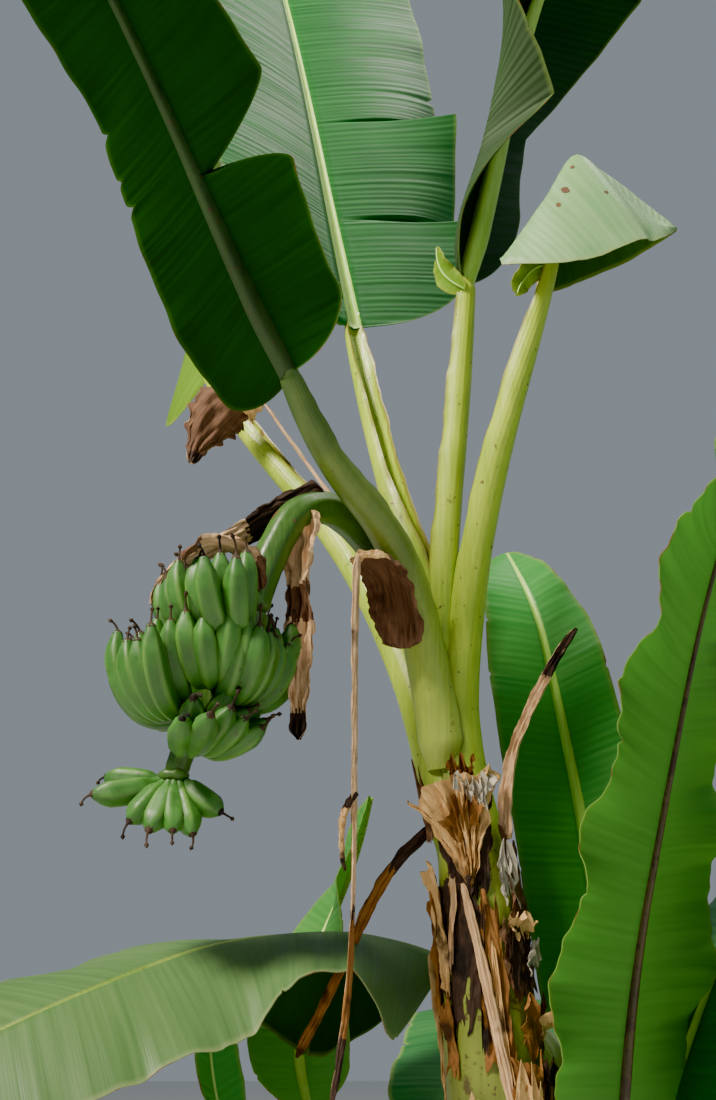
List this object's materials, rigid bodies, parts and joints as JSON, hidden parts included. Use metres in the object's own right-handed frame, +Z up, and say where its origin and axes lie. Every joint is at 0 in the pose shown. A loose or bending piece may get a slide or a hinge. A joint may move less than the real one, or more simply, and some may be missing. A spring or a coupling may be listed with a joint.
{
  "type": "fruiting banana plant",
  "caption": "Banana plant with a leaning pseudostem, long paddle fronds, a hanging bunch of green fruit, dry sheaths and young suckers at its foot.",
  "frame": {"origin": "middle of the flat cut under the main stem, at ground level", "axes": "+Z up along the height, +X to the right and +Y away in the picture's view"},
  "size_m": [2.4777, 2.4764, 4.9583],
  "materials": {
    "stem": "smooth waxy yellow-green sheaths",
    "petiole": "smooth waxy pale green",
    "leaf": "satin leaf blade with fine cross veins",
    "stalk": "smooth green flower stalk",
    "fruit": "smooth waxy green peel",
    "dry_sheath": "dry fibrous sheath",
    "dry_leaf": "dry curled leaf tissue"
  },
  "bodies": {
    "root": {"pseudostem": "stem", "sucker_right_stem": "stem", "sucker_back_stem": "stem", "petiole_right": "petiole", "leaf_right": "leaf", "petiole_left": "petiole", "leaf_left": "leaf", "petiole_front_left": "petiole", "leaf_front_left": "leaf", "petiole_back_left": "petiole", "leaf_back_left": "leaf", "petiole_centre": "petiole", "leaf_centre": "leaf", "peduncle": "stalk", "rachis": "stalk", "hand_1": "fruit", "hand_2": "fruit", "hand_3": "fruit", "hand_4": "fruit", "hand_5": "fruit", "hand_6": "fruit", "hand_7": "fruit", "dry_sheath_front": "dry_sheath", "dry_sheath_left": "dry_sheath", "dry_sheath_right": "dry_sheath", "dry_sheath_lower": "dry_sheath", "dry_sheath_rear": "dry_sheath", "dry_strip_front": "dry_leaf", "dead_leaf_base": "dry_leaf", "dead_petiole_hanging": "dry_leaf", "dead_leaf_hanging": "dry_leaf", "dead_strip": "dry_leaf", "dead_stalk_back": "dry_leaf", "dead_leaf_back": "dry_leaf", "dead_petiole_right": "dry_leaf", "dead_petiole_left": "dry_leaf", "sucker_right_petiole_front": "petiole", "sucker_right_leaf_front": "leaf", "sucker_right_petiole_middle": "petiole", "sucker_right_leaf_middle": "leaf", "sucker_right_petiole_arching": "petiole", "sucker_right_leaf_arching": "leaf", "sucker_right_petiole_outer": "petiole", "sucker_right_leaf_outer": "leaf", "sucker_back_petiole_upright": "petiole", "sucker_back_leaf_upright": "leaf", "sucker_back_petiole_low": "petiole", "sucker_back_leaf_low": "leaf", "sucker_back_petiole_rear": "petiole", "sucker_back_leaf_rear": "leaf"}
  },
  "joints": []
}
